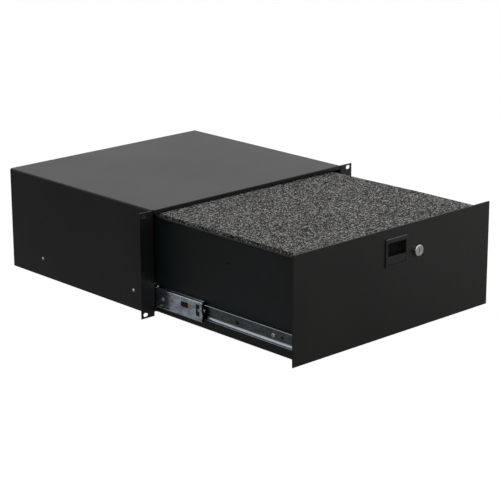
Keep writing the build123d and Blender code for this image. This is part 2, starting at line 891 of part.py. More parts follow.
# Latch housing: a bezel on the panel, a finger recess, and a channel for the bolt behind it
def latch_housing():
    bezel_opening_foot = bezel_bottom + bezel_border
    with BuildPart() as housing:
        with BuildSketch(behind_panel(-bezel_proud)):
            with Locations((0, latch_middle)):
                RectangleRounded(bezel_width, bezel_height, bezel_corner)
        extrude(amount=bezel_proud)
        fillet(housing.faces().sort_by(Axis.Y)[0].edges(), radius=bezel_edge)
        with BuildSketch(behind_panel(0)):
            with Locations((0, latch_middle)):
                Rectangle(2 * body_half_width, body_top - body_bottom)
        extrude(amount=channel_rear)
        with BuildSketch(behind_panel(-bezel_proud)):
            with Locations((0, (bezel_opening_foot + recess_top) / 2)):
                RectangleRounded(2 * recess_half, recess_top - bezel_opening_foot, recess_corner)
        extrude(amount=bezel_proud, mode=Mode.SUBTRACT)
        with BuildSketch(behind_panel(0)):
            with Locations((0, (recess_foot + recess_top) / 2)):
                Rectangle(2 * recess_half, recess_top - recess_foot)
        extrude(amount=recess_depth, mode=Mode.SUBTRACT)
        with BuildSketch(behind_panel(channel_front)):
            with Locations((0, recess_foot)):
                channel_width = bolt_width + 2 * bolt_side_play
                Rectangle(channel_width, body_top - recess_foot, align=(Align.CENTER, Align.MIN))
        extrude(amount=channel_rear - channel_front, mode=Mode.SUBTRACT)
        with BuildSketch(behind_panel(recess_depth)):
            with Locations((0, window_head)):
                slot_height = window_head - window_foot + bolt_travel
                Rectangle(2 * (tail_half_width + tail_play), slot_height, align=(Align.CENTER, Align.MAX))
        extrude(amount=recess_back_wall, mode=Mode.SUBTRACT)
        with BuildSketch(behind_panel(channel_rear)):
            with Locations(*cover_screw_places):
                Circle(cover_screw_radius)
        extrude(amount=-cover_screw_bite, mode=Mode.SUBTRACT)
        add(paddle_pin(), mode=Mode.SUBTRACT)
    return housing.part


# Latch cover: a plate over the bolt's channel, with a tab that carries the spring
def latch_cover():
    with BuildPart() as cover:
        with BuildSketch(behind_panel(channel_rear)):
            with Locations((0, (cover_foot + cover_head) / 2)):
                RectangleRounded(2 * cover_half_width, cover_head - cover_foot, cover_corner)
            with Locations(*cover_screw_places):
                Circle(cover_screw_radius, mode=Mode.SUBTRACT)
        extrude(amount=cover_thickness)
        with BuildSketch(behind_panel(channel_rear)):
            with Locations((0, spring_bottom)):
                Rectangle(spring_tab_width, spring_tab_height, align=(Align.CENTER, Align.MAX))
        extrude(amount=-(channel_rear - bolt_front))
    return cover.part


def latch_cover_screws():
    with BuildPart() as screws:
        with BuildSketch(behind_panel(channel_rear + cover_thickness)):
            with Locations(*cover_screw_places):
                Circle(cover_screw_head)
        extrude(amount=cover_screw_head_height)
        with BuildSketch(behind_panel(channel_rear + cover_thickness)):
            with Locations(*cover_screw_places):
                Circle(cover_screw_radius)
        extrude(amount=-cover_thickness - cover_screw_bite)
    return screws.part


# Latch bolt: a flat bolt with a window for the tail, a slot for the spring and a deep bevelled nose
def latch_bolt():
    slot_height = spring_length - (window_head - spring_bottom) - spring_tab_height
    with BuildPart() as bolt:
        with BuildSketch(behind_panel(bolt_front)):
            with Locations((0, bolt_foot)):
                Rectangle(bolt_width, bolt_top - bolt_foot, align=(Align.CENTER, Align.MIN))
            with Locations((0, (window_foot + window_head) / 2)):
                window_width = 2 * (tail_half_width + tail_play)
                Rectangle(window_width, window_head - window_foot, mode=Mode.SUBTRACT)
            with Locations((0, spring_top - slot_height / 2)):
                Rectangle(spring_slot_width, slot_height, mode=Mode.SUBTRACT)
        extrude(amount=bolt_thickness)
        with BuildSketch(behind_panel(nose_front)):
            with Locations((0, bolt_top)):
                Rectangle(bolt_width, bolt_top - nose_foot, align=(Align.CENTER, Align.MAX))
        extrude(amount=bolt_rear - nose_front)
        nose = bolt.edges().filter_by(Axis.X).group_by(Axis.Z)[-1].sort_by(Axis.Y)[-1]
        chamfer(nose, length=bolt_bevel)
    return bolt.part


# Latch spring: a closed coil that pushes the bolt up from the cover's tab
def latch_spring():
    centre_y = panel_front + (bolt_front + bolt_rear) / 2
    free = spring_length - spring_wire
    with BuildPart() as spring:
        with BuildLine() as coil:
            Helix(
                pitch=free / spring_turns,
                height=free,
                radius=spring_radius,
                center=(0, centre_y, spring_bottom + spring_wire / 2),
            )
        with BuildSketch(Plane(origin=coil.line @ 0, z_dir=coil.line % 0)):
            RegularPolygon(spring_wire / 2, 6)
        sweep(is_frenet=True)
    return spring.part


# Paddle: a skirt that closes the bezel's lower half, a ledge to press on, and a tail to the bolt
def paddle():
    half = recess_half - paddle_side_gap
    skirt_foot = bezel_bottom + bezel_border + paddle_side_gap
    skirt_front = paddle_inset - bezel_proud
    ledge_depth = recess_depth - ledge_rear_gap - skirt_front
    tail_depth = bolt_rear - tail_play - skirt_front
    with BuildPart() as lever:
        with BuildSketch(behind_panel(skirt_front)):
            with Locations((0, paddle_top)):
                Rectangle(2 * half, paddle_top - skirt_foot, align=(Align.CENTER, Align.MAX))
        extrude(amount=paddle_plate)
        with BuildSketch(Plane.XY.offset(paddle_top)):
            with Locations((0, panel_front + skirt_front)):
                Rectangle(2 * half, ledge_depth, align=(Align.CENTER, Align.MIN))
                Rectangle(2 * tail_half_width, tail_depth, align=(Align.CENTER, Align.MIN))
        extrude(amount=-ledge_thickness)
        with BuildSketch(across_latch(half)):
            Circle(barrel_radius)
            post_height = paddle_top - pivot_z - ledge_thickness / 2
            Rectangle(post_thickness, post_height, align=(Align.CENTER, Align.MIN))
        extrude(amount=2 * half)
        with BuildSketch(across_latch(half)):
            Circle(pivot_diameter / 2 + pivot_play)
        extrude(amount=2 * half, mode=Mode.SUBTRACT)
        front_edge = lever.edges().filter_by(Axis.X).group_by(Axis.Z)[-1].sort_by(Axis.Y)[0]
        fillet(front_edge, radius=paddle_edge)
    return lever.part


def paddle_pin():
    with BuildPart() as pin:
        with BuildSketch(across_latch(body_half_width)):
            Circle(pivot_diameter / 2)
        extrude(amount=2 * body_half_width)
    return pin.part


def lock_plane(depth):
    """A plane on the lock's axis, facing the rear: sketch X is -X and sketch Y is +Z."""
    return Plane(origin=(lock_x, panel_front + depth, lock_z), x_dir=(-1, 0, 0), z_dir=(0, 1, 0))


# Lock body: a rounded head in front of the panel and a barrel with two flats behind it
def lock_body():
    with BuildPart() as body:
        with BuildSketch(lock_plane(-lock_head_proud)):
            Circle(lock_head_radius)
        extrude(amount=lock_head_proud)
        fillet(body.faces().sort_by(Axis.Y)[0].edges(), radius=lock_head_edge)
        with BuildSketch(lock_plane(0)):
            Circle(lock_barrel_radius)
            Rectangle(2 * lock_barrel_radius, lock_flats, mode=Mode.INTERSECT)
        extrude(amount=lock_barrel_length)
        with BuildSketch(lock_plane(-lock_head_proud)):
            Circle(plug_radius + plug_play)
        extrude(amount=lock_head_proud + lock_barrel_length, mode=Mode.SUBTRACT)
    return body.part


def lock_nut():
    with BuildPart() as nut:
        with BuildSketch(lock_plane(panel_sheet)):
            RegularPolygon(lock_nut_across / 2, 6, major_radius=False)
            Circle(lock_barrel_radius + thread_play, mode=Mode.SUBTRACT)
        extrude(amount=lock_nut_thickness)
    return nut.part


# Lock plug: turns in the body, with its keyway in front and a square tail for the cam
def lock_plug():
    plug_front = plug_recess - lock_head_proud
    plug_rear = lock_barrel_length + plug_play
    with BuildPart() as plug:
        with BuildSketch(lock_plane(plug_front)):
            Circle(plug_radius)
        extrude(amount=plug_rear - plug_front)
        with BuildSketch(lock_plane(plug_rear)):
            Rectangle(tail_square, tail_square)
        extrude(amount=cam_rear - plug_rear)
        with BuildSketch(lock_plane(plug_front)):
            Rectangle(keyway_width, keyway_height)
        extrude(amount=keyway_depth, mode=Mode.SUBTRACT)
        with BuildSketch(lock_plane(cam_rear)):
            Circle(cam_screw_radius)
        extrude(amount=-cam_screw_bite, mode=Mode.SUBTRACT)
    return plug.part


# Lock cam: a flat arm on the plug's square tail, which points right when the lock is open
def lock_cam():
    with BuildPart() as cam:
        with BuildSketch(lock_plane(cam_front)) as arm:
            Circle(cam_width / 2)
            with BuildLine():
                tip = (-cam_reach, cam_tip_width / 2)
                Polyline((0, cam_width / 2), tip, (tip[0], -tip[1]), (0, -cam_width / 2), close=True)
            make_face()
            chamfer(arm.vertices().group_by(Axis.X)[0], length=cam_tip_chamfer)
            Rectangle(tail_square + plug_play, tail_square + plug_play, mode=Mode.SUBTRACT)
        extrude(amount=cam_thickness)
    return cam.part


def cam_screw():
    with BuildPart() as screw:
        with BuildSketch(lock_plane(cam_rear)):
            Circle(cam_screw_head)
        extrude(amount=cam_screw_head_height)
        with BuildSketch(lock_plane(cam_rear)):
            Circle(cam_screw_radius)
        extrude(amount=-cam_screw_bite)
    return screw.part


# The whole object, piece by piece
save(drilled_shell(), "case_shell")
save(case_base(), "case_base")
save(case_back(), "case_back")
save(slide_rivets(), "slide_rivets")
save_pair(outer_member(), "outer_member")
save_pair(rear_bumper(), "rear_bumper")
save_pair(outer_cage(), "outer_cage")
save_pair(ball_rows(outer_ball, outer_cage_start), "outer_balls")
save_pair(middle_member(), "middle_member")
save_pair(middle_bumper(), "middle_bumper")
save_pair(detent_leaf(), "detent_leaf")
save_pair(inner_cage(), "inner_cage")
save_pair(ball_rows(inner_ball, middle_front + inner_cage_start), "inner_balls")
save_pair(inner_member(), "inner_member")
save(inner_screws(), "inner_screws")
save_pair(drawer_side(), "drawer_side")
save(drawer_bottom(), "drawer_bottom")
save(drawer_back(), "drawer_back")
save(front_panel(), "front_panel")
save(panel_nuts(), "panel_nuts")
save(foam_block(), "foam_block")
save(latch_housing(), "latch_housing")
save(latch_cover(), "latch_cover")
save(latch_cover_screws(), "latch_cover_screws")
save(latch_bolt(), "latch_bolt")
save(latch_spring(), "latch_spring")
save(paddle(), "paddle")
save(paddle_pin(), "paddle_pin")
save(lock_body(), "lock_body")
save(lock_nut(), "lock_nut")
save(lock_plug(), "lock_plug")
save(lock_cam(), "lock_cam")
save(cam_screw(), "cam_screw")
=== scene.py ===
# %% [markdown]
# # A rack drawer, pulled out
# This lesson dresses a finished CAD model: a steel case that bolts into a rack, and a drawer full
# of foam that runs in it on ball-bearing slides. The CAD model is loaded as a fixed frame, in
# metres, with +X to the right, -Y to the front and +Z up. What is already the right shape keeps
# its shape and gets a finish, and what is soft or finely detailed is modelled here over its solid.

# %% Load the frame
from math import pi, radians

import bpy
from mathutils import Euler, Matrix, Vector


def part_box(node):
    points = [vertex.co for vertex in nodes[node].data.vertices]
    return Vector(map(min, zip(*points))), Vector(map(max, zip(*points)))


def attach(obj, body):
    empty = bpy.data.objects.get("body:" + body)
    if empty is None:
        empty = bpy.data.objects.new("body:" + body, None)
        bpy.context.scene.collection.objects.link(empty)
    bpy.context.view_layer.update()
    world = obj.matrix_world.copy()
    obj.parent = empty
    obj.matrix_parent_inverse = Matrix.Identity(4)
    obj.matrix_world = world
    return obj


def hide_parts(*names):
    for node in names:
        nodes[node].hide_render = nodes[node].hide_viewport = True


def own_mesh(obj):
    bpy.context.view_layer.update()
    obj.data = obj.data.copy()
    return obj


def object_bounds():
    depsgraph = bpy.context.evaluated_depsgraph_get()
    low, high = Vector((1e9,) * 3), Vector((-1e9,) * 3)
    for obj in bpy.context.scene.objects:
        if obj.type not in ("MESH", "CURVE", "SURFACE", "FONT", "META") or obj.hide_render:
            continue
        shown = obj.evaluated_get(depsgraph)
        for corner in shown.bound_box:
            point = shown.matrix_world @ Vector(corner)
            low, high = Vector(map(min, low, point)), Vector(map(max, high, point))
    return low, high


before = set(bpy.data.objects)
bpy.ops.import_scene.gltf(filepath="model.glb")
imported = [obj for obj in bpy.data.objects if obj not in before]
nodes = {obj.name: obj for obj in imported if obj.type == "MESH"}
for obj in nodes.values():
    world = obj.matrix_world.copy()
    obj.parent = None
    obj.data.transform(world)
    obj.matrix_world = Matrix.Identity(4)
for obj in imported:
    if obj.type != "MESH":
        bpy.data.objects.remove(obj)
cad_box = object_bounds()
print("CAD nodes:", len(nodes), "box:", cad_box)

# %% [markdown]
# ## The camera
# The object was photographed with a long lens from its front left, a little above. A long lens
# keeps parallel edges almost parallel, so the distance matters as much as the angle. The camera
# stands where a pinhole camera fitted to the object's corners stood.

# %% Set up the camera
CAMERA_PLACE = (-1.992, -2.1435, 0.8535)
CAMERA_TURN = 42.88
CAMERA_DIP = 16.65
CAMERA_ROLL = -0.23
LENS = 130.26
SENSOR_WIDTH = 36.0
FURTHEST_SEEN = 50.0


def add_camera():
    data = bpy.data.cameras.new("camera")
    data.lens = LENS
    data.sensor_width = SENSOR_WIDTH
    data.clip_end = FURTHEST_SEEN
    camera = bpy.data.objects.new("camera", data)
    bpy.context.scene.collection.objects.link(camera)
    turn = Euler((radians(90 - CAMERA_DIP), 0, radians(-CAMERA_TURN))).to_matrix()
    camera.rotation_euler = (turn @ Matrix.Rotation(radians(CAMERA_ROLL), 3, "Z")).to_euler()
    camera.location = CAMERA_PLACE
    bpy.context.scene.camera = camera
    return camera


camera = add_camera()
print("camera distance:", round(camera.location.length, 3), "m")

# %% [markdown]
# ## Sums on sockets
# A finish is mostly arithmetic on textures. Wiring every Math node by hand hides the sum, so a
# small class stands for a socket and turns +, -, * and abs into Math nodes. Colours are mixed by
# Mix nodes instead, because a Math node would turn them grey.

# %% The socket class
class Amount:
    """One output socket of a node tree, on which sums can be written."""

    def __init__(self, wiring, socket):
        self.wiring = wiring
        self.socket = socket

    def sum(self, operation, first, second):
        return self.wiring.node("ShaderNodeMath", {"operation": operation}, {0: first, 1: second})

    def __add__(self, other):
        return self.sum("ADD", self, other)

    def __radd__(self, other):
        return self.sum("ADD", other, self)

    def __sub__(self, other):
        return self.sum("SUBTRACT", self, other)

    def __rsub__(self, other):
        return self.sum("SUBTRACT", other, self)

    def __mul__(self, other):
        return self.sum("MULTIPLY", self, other)

    def __rmul__(self, other):
        return self.sum("MULTIPLY", other, self)

    def __abs__(self):
        return self.sum("ABSOLUTE", self, 0.0)


print("sums on sockets: +, -, * and abs")

# %% [markdown]
# ## Nodes, all in one way
# Materials and the world are node trees. Every node of them is added by one method: its type and
# settings first, such as a Math node's operation or a ramp's stops, then the values or links of
# its sockets.

# %% The wiring class
class Wiring:
    """Adds and links the nodes of one node tree."""

    def __init__(self, tree):
        self.tree = tree

    def node(self, kind, settings=None, inputs=None, output=0):
        made = self.tree.nodes.new(kind)
        for key, value in (settings or {}).items():
            if key == "stops":
                self.set_stops(made.color_ramp.elements, value)
            else:
                setattr(made, key, value)
        for key, value in (inputs or {}).items():
            if isinstance(value, Amount):
                self.tree.links.new(value.socket, made.inputs[key])
            else:
                made.inputs[key].default_value = value
        return Amount(self, made.outputs[output])

    def set_stops(self, elements, stops):
        for stop, colour in stops[1:-1]:
            elements.new(stop)
        for element, (stop, colour) in zip(elements, stops):
            element.position = stop
            element.color = (*colour, 1.0)

    def blend(self, share, first, second):
        """Mix two shaders: the first where the share is 0, the second where it is 1."""
        return self.node("ShaderNodeMixShader", None, {0: share, 1: first, 2: second})

    def show(self, shader):
        """Link a shader to the tree's output."""
        output = next(node for node in self.tree.nodes if node.type.startswith("OUTPUT"))
        self.tree.links.new(shader.socket, output.inputs["Surface"])


print("nodes are added by Wiring.node")

# %% [markdown]
# ## A finish
# Each material is a Principled surface with a few sockets fed by textures. All textures read
# Object coordinates: every mesh keeps its origin at the frame's origin, so a pattern has its true
# size in metres and runs on from one piece to the next.

# %% The finish class
class Finish(Wiring):
    """A Principled material and the textures that feed it."""

    def __init__(self, name, colour, roughness, **constants):
        self.material = bpy.data.materials.new(name)
        self.material.use_nodes = True
        super().__init__(self.material.node_tree)
        self.surface = self.tree.nodes["Principled BSDF"]
        self.surface.inputs["Base Color"].default_value = (*colour, 1.0)
        self.surface.inputs["Roughness"].default_value = roughness
        for socket, value in constants.items():
            self.surface.inputs[socket.replace("_", " ")].default_value = value
        self.lit = Amount(self, self.surface.outputs[0])
        self.place = self.node("ShaderNodeTexCoord", output="Object")

    def feed(self, socket, value):
        """Link a value to a socket of the surface."""
        self.tree.links.new(value.socket, self.surface.inputs[socket])

    def along(self, axis):
        """One coordinate of the surface, X, Y or Z, in metres."""
        return self.node("ShaderNodeSeparateXYZ", None, {"Vector": self.place}, axis)

    def noise(self, scale, detail=2.0, roughness=0.5, stretch=None):
        where = self.place
        if stretch:
            where = self.node("ShaderNodeMapping", None, {"Vector": where, "Scale": stretch})
        inputs = {"Vector": where, "Scale": scale, "Detail": detail, "Roughness": roughness}
        return self.node("ShaderNodeTexNoise", None, inputs)

    def cells(self, scale, output, feature="F1"):
        inputs = {"Vector": self.place, "Scale": scale}
        return self.node("ShaderNodeTexVoronoi", {"feature": feature}, inputs, output)

    def chance(self, scale):
        """A number between 0 and 1 for each Voronoi cell."""
        colour = self.cells(scale, "Color")
        return self.node("ShaderNodeSeparateColor", None, {"Color": colour}, "Red")

    def spread(self, value, low, high):
        """A mask: 0 up to the low value, 1 from the high value on."""
        inputs = {"Value": value, "From Min": low, "From Max": high}
        return self.node("ShaderNodeMapRange", {"clamp": True}, inputs)

    def ramp(self, value, stops):
        return self.node("ShaderNodeValToRGB", {"stops": stops}, {"Fac": value}, "Color")

    def mix(self, share, first, second):
        """Mix two colours."""
        first = first if isinstance(first, Amount) else (*first, 1.0)
        second = second if isinstance(second, Amount) else (*second, 1.0)
        return self.node("ShaderNodeMix", {"data_type": "RGBA"}, {0: share, 6: first, 7: second}, 2)

    def shade_inside(self, inside, colour):
        """Where the mask is 1, show painted shade, a matt dark shader, instead of the glossy
        surface.
        """
        matt = self.node("ShaderNodeBsdfDiffuse", None, {"Color": (*colour, 1.0)})
        self.show(self.blend(inside, self.lit, matt))

    def bump(self, height, distance, strength):
        inputs = {"Height": height, "Distance": distance, "Strength": strength}
        self.feed("Normal", self.node("ShaderNodeBump", None, inputs, "Normal"))


print("a finish is a Principled surface on Object coordinates")

# %% [markdown]
# ## Tones and gloss
# No paint or plate is even. Two small sums come back in every finish: a colour made darker or
# lighter, and a roughness that wanders about its middle with a texture.

# %% Two sums
def toned(colour, share, lift=0.0):
    """A colour, darker or lighter by a share."""
    return tuple(share * part + lift for part in colour)


def around(middle, change, texture):
    """A number that a texture, whose own middle is a half, moves up and down."""
    return middle - change / 2 + change * texture


print("a tone of grey:", toned((0.5, 0.5, 0.5), 0.8))

# %% [markdown]
# ## Black powder coat
# The case, the drawer and the panel are folded steel under a satin powder coat. Its skin has a
# fine orange peel, its gloss wanders a little over a sheet, and handling leaves a few dull
# patches. It is black, so nearly all its light is reflection: a low specular level keeps the
# upright sides dark and still lets the top shine where it is seen at a flat angle.

# %% Powder coat
PATCHES_PER_METRE = 7.0
GRAINS_PER_METRE = 1500.0
PEEL_PER_METRE = 700.0
PEEL_HEIGHT = 0.00004
PEEL_STRENGTH = 0.35


def powder_coat(name, colour, roughness, specular):
    coat = Finish(name, colour, roughness, Specular_IOR_Level=specular)
    patches = coat.noise(PATCHES_PER_METRE, 3.0)
    grain = coat.noise(GRAINS_PER_METRE, 1.0)
    light = coat.spread(patches + 0.15 * grain, 0.35, 0.85)
    coat.feed("Base Color", coat.mix(light, toned(colour, 0.8), toned(colour, 1.35, 0.001)))
    coat.feed("Roughness", around(roughness, 0.1, patches) + 0.04 * grain)
    coat.bump(coat.noise(PEEL_PER_METRE), PEEL_HEIGHT, PEEL_STRENGTH)
    return coat.material


case_black = powder_coat("case_powder_coat", (0.0034, 0.0036, 0.0037), 0.36, 0.30)
drawer_black = powder_coat("drawer_powder_coat", (0.0040, 0.0066, 0.0066), 0.42, 0.20)
panel_black = powder_coat("panel_powder_coat", (0.0036, 0.0046, 0.0030), 0.40, 0.26)
print("coats:", case_black.name, drawer_black.name, panel_black.name)

# %% [markdown]
# ## Plated metal
# The slides are rolled from strip and zinc plated: a cool, slightly blue metal with drawing marks
# along its length. The marks are a noise stretched along Y, and clouds shift the colour a little.
# With marks that run no special way, the same recipe gives the steel of the fittings.

# %% Plated metal
ALONG_SLIDE = (400.0, 6.0, 400.0)
NO_SPECIAL_WAY = (60.0, 60.0, 60.0)
CLOUDS_PER_METRE = 30.0
MARK_HEIGHT = 0.00002
MARK_STRENGTH = 0.25


def plated_metal(name, colour, tint, roughness, stretch=ALONG_SLIDE):
    metal = Finish(name, colour, roughness, Metallic=1.0)
    marks = metal.noise(1.0, 3.0, 0.6, stretch)
    clouds = metal.spread(metal.noise(CLOUDS_PER_METRE), 0.35, 0.65)
    metal.tone = metal.mix(clouds, colour, tint)
    metal.feed("Base Color", metal.tone)
    metal.feed("Roughness", around(roughness, 0.12, marks))
    metal.bump(marks, MARK_HEIGHT, MARK_STRENGTH)
    return metal


cage_steel = plated_metal("cage_steel", (0.40, 0.40, 0.38), (0.34, 0.34, 0.33), 0.34).material
raceway_zinc = plated_metal("raceway_zinc", (0.36, 0.41, 0.46), (0.46, 0.51, 0.55), 0.22).material
leaf_brass = plated_metal("leaf_brass", (0.46, 0.40, 0.26), (0.36, 0.32, 0.22), 0.30).material
black_steel = plated_metal("black_steel", (0.020,) * 3, (0.012,) * 3, 0.42).material
fitting_steel = plated_metal(
    "fitting_steel", (0.52, 0.53, 0.54), (0.44, 0.45, 0.47), 0.32, NO_SPECIAL_WAY
).material
print("plated:", cage_steel.name, raceway_zinc.name, leaf_brass.name, fitting_steel.name)

# %% [markdown]
# ## Webs and rolled edges of the slides, with painted shade on the webs
# The flat web of a slide's member is coloured darker than its rolled edges. This is painted shade:
# the web lies in shade and reflects the darker floor, and worn clouds and scratches are laid over
# it as wear. The web is one strip thick and lies at a known X: nearest to the drawer on an inner
# member, and furthest out on the others. So the distance from the drawer's middle tells web from
# edge, on both sides of the drawer at once.

# %% The slides' zinc
STRIP = 0.0012
WEB_OUTER_MARGIN = 0.0001
WEB_BLUR = 0.0004
WORN_CLOUDS = (60.0, 45.0, 160.0)
SCRATCHES = (400.0, 170.0, 500.0)


def shaded_web_mask(metal, member):
    """1 on a member's web, where shade is painted, and 0 on its rolled edges."""
    low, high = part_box(member)
    across = abs(metal.along("X"))
    if member.startswith("inner"):
        edge = abs(high.x) + STRIP
        return 1 - metal.spread(across, edge, edge + WEB_BLUR)
    edge = abs(low.x) - STRIP - WEB_OUTER_MARGIN
    return metal.spread(across, edge, edge + WEB_BLUR)


def slide_metal(name, member, web, bright, roughness):
    metal = plated_metal(name, bright, toned(bright, 1.15), roughness)
    clouds = metal.noise(1.0, 3.0, 0.6, WORN_CLOUDS)
    scratches = metal.noise(1.0, 2.0, 0.6, SCRATCHES)
    wear = metal.spread(0.5 * clouds + 0.5 * scratches, 0.38, 0.62)
    # Painted shade: the web's colour is darker than the edges', with wear from clouds and
    # scratches.
    shaded_worn_web = metal.mix(wear, toned(web, 0.6), toned(web, 1.4))
    metal.feed("Base Color", metal.mix(shaded_web_mask(metal, member), metal.tone, shaded_worn_web))
    return metal.material


BRIGHT = (0.52, 0.57, 0.60)
BRIGHT_INNER = (0.22, 0.25, 0.27)
outer_zinc = slide_metal("outer_zinc", "outer_member_left", (0.30, 0.33, 0.36), BRIGHT, 0.26)
middle_zinc = slide_metal("middle_zinc", "middle_member_left", (0.47, 0.53, 0.60), BRIGHT, 0.20)
inner_zinc = slide_metal(
    "inner_zinc", "inner_member_left", (0.098, 0.118, 0.125), BRIGHT_INNER, 0.24
)
print("slides:", outer_zinc.name, middle_zinc.name, inner_zinc.name)

# %% [markdown]
# ## Chrome
# The lock and the balls are polished. A soft haze keeps chrome from looking like a mirror in a
# drawing. The lock's keyway is a deep slot that no light reaches: what lies behind the plug's face
# is mixed to a matt, dark shade there, by a mask on Y.

# %% Polished metal
HAZE_PER_METRE = 160.0
KEYWAY_DARK = (0.008, 0.008, 0.008)


def polished(name, colour, roughness, face=None):
    """Bright metal; with the Y of a face given, what lies behind it is dark and dull."""
    metal = Finish(name, colour, roughness, Metallic=1.0)
    haze = metal.noise(HAZE_PER_METRE)
    if face is not None:
        inside = metal.spread(metal.along("Y"), face + 0.0001, face + 0.0005)
        metal.shade_inside(inside, KEYWAY_DARK)
    metal.feed("Base Color", metal.mix(haze, colour, toned(colour, 0.88)))
    metal.feed("Roughness", roughness + 0.08 * haze)
    return metal.material


LOCK_COLOUR = (0.50, 0.49, 0.48)
plug_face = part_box("lock_plug")[0].y
lock_chrome = polished("lock_chrome", LOCK_COLOUR, 0.12)
plug_chrome = polished("plug_chrome", LOCK_COLOUR, 0.16, plug_face)
ball_steel = polished("ball_steel", (0.70, 0.71, 0.73), 0.08)
print("plug face at Y", round(plug_face, 4))

# %% [markdown]
# ## Moulded plastic
# The latch and the slides' bumpers are black plastic. A moulding has a spark-eroded grain that is
# coarser and flatter than powder coat, and it shines a little where fingers rub it. A lighter band
# along the bezel's upper edge is a painted highlight, by a mask on Z. The walls of the finger
# recess lie behind the panel's face and get painted shade: a mask on Y mixes a plain matt, dark
# shader in there.

# %% Plastic
MOULD_GRAINS_PER_METRE = 2600.0
RUBS_PER_METRE = 60.0
MOULD_GRAIN_HEIGHT = 0.00003
MOULD_GRAIN_STRENGTH = 0.3
RECESS_SHADE = (0.010, 0.010, 0.010)
RECESS_BLUR = 0.001
EDGE_HIGHLIGHT_COLOUR = (0.090, 0.094, 0.090)
EDGE_HIGHLIGHT_WIDTH = 0.0010


def moulded(name, colour, roughness, specular, face=None, highlight_top=None):
    """Black plastic, with painted shade behind the Y of a face and a painted highlight just under
    the Z of an edge.
    """
    plastic = Finish(name, colour, roughness, Specular_IOR_Level=specular)
    rub = plastic.noise(RUBS_PER_METRE)
    skin = plastic.mix(rub, colour, toned(colour, 1.4))
    # Painted shade: the finger recess behind the panel's face is dark and matt.
    if face is not None:
        inside = plastic.spread(plastic.along("Y"), face, face + RECESS_BLUR)
        plastic.shade_inside(inside, RECESS_SHADE)
    # Painted highlight: a lighter band just under the bezel's upper edge.
    if highlight_top is not None:
        edge = plastic.spread(plastic.along("Z"), highlight_top - EDGE_HIGHLIGHT_WIDTH, highlight_top)
        skin = plastic.mix(edge, skin, EDGE_HIGHLIGHT_COLOUR)
    plastic.feed("Base Color", skin)
    plastic.feed("Roughness", around(roughness, 0.12, rub))
    grain = plastic.noise(MOULD_GRAINS_PER_METRE, 1.0)
    plastic.bump(grain, MOULD_GRAIN_HEIGHT, MOULD_GRAIN_STRENGTH)
    return plastic.material


panel_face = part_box("front_panel")[0].y
bezel_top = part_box("latch_housing")[1].z
latch_plastic = moulded(
    "latch_plastic", (0.0050, 0.0054, 0.0048), 0.40, 0.26, panel_face, bezel_top
)
bumper_plastic = moulded("bumper_plastic", (0.004, 0.004, 0.004), 0.5, 0.15)
print("panel face at Y", round(panel_face, 4), "bezel top at Z", round(bezel_top, 4))

# %% [markdown]
# ## Open-cell foam
# Seen close, the foam is a mesh of fine grey threads around dark pores, and from further off a
# strong speckle of dark and light. Each pore of about two millimetres gets its own grey by chance,
# from the random colour of its Voronoi cell, and tufts and fibres are laid over it. The same
# pattern drives colour and bump, so that the light specks are also the high ones.

# %% Foam
PORES_PER_METRE = 520.0
TUFTS_PER_METRE = 520.0
FIBRES_PER_METRE = 1400.0
DRIFTS_PER_METRE = 16.0
FOAM_LOWEST = 0.66
FOAM_HIGHEST = 1.28
FOAM_DEPTH = 0.0012
FOAM_STRENGTH = 0.6
FOAM_STOPS = [
    (0.0, (0.004, 0.004, 0.004)),
    (0.35, (0.026, 0.026, 0.024)),
    (0.65, (0.105, 0.103, 0.098)),
    (1.0, (0.420, 0.414, 0.396)),
]


def open_cell_foam(name):
    foam = Finish(name, (0.08, 0.078, 0.075), 0.95, Specular_IOR_Level=0.2)
    to_wall = foam.cells(PORES_PER_METRE, "Distance", "DISTANCE_TO_EDGE")
    walls = 1 - foam.spread(to_wall, 0.02, 0.30)
    tufts = foam.noise(TUFTS_PER_METRE, 1.0, 0.6)
    fibres = foam.noise(FIBRES_PER_METRE, 1.0, 0.6)
    height = 0.8 * foam.chance(PORES_PER_METRE) + 0.5 * tufts + 0.15 * walls + 0.2 * fibres
    drift = foam.noise(DRIFTS_PER_METRE)
    shade = foam.spread(height + 0.1 * drift, FOAM_LOWEST, FOAM_HIGHEST)
    foam.feed("Base Color", foam.ramp(shade, FOAM_STOPS))
    foam.bump(height, FOAM_DEPTH, FOAM_STRENGTH)
    return foam.material


foam_grey = open_cell_foam("foam_grey")
print("foam:", foam_grey.name, "pores of", round(1000 / PORES_PER_METRE, 1), "mm")

# %% [markdown]
# ## Dress the CAD nodes
# A CAD node keeps its mesh and takes a finish in its material slot. Most pieces of the slides come
# as a left and a right one, so a small helper writes both names.

# %% Finishes of the nodes
def both(*pieces):
    return [f"{piece}_{side}" for piece in pieces for side in ("left", "right")]


DRESS = {
    case_black: ["case_shell", "case_base", "case_back"],
    drawer_black: both("drawer_side") + ["drawer_bottom", "drawer_back"],
    panel_black: ["front_panel"],
    outer_zinc: both("outer_member"),
    middle_zinc: both("middle_member"),
    inner_zinc: both("inner_member"),
    cage_steel: both("outer_cage", "inner_cage"),
    ball_steel: both("outer_balls", "inner_balls"),
    leaf_brass: both("detent_leaf"),
    bumper_plastic: both("middle_bumper", "rear_bumper"),
    latch_plastic: ["latch_housing", "paddle"],
    lock_chrome: ["lock_body"],
    plug_chrome: ["lock_plug"],
    foam_grey: ["foam_block"],
    fitting_steel: [
        "slide_rivets", "inner_screws", "panel_nuts", "latch_cover_screws", "latch_spring",
        "paddle_pin", "lock_nut", "lock_cam", "cam_screw",
    ],
    black_steel: ["latch_bolt", "latch_cover"],
}


def dress(node, material):
    mesh = nodes[node].data
    if not mesh.materials:
        mesh.materials.append(material)
    for slot in nodes[node].material_slots:
        slot.material = material


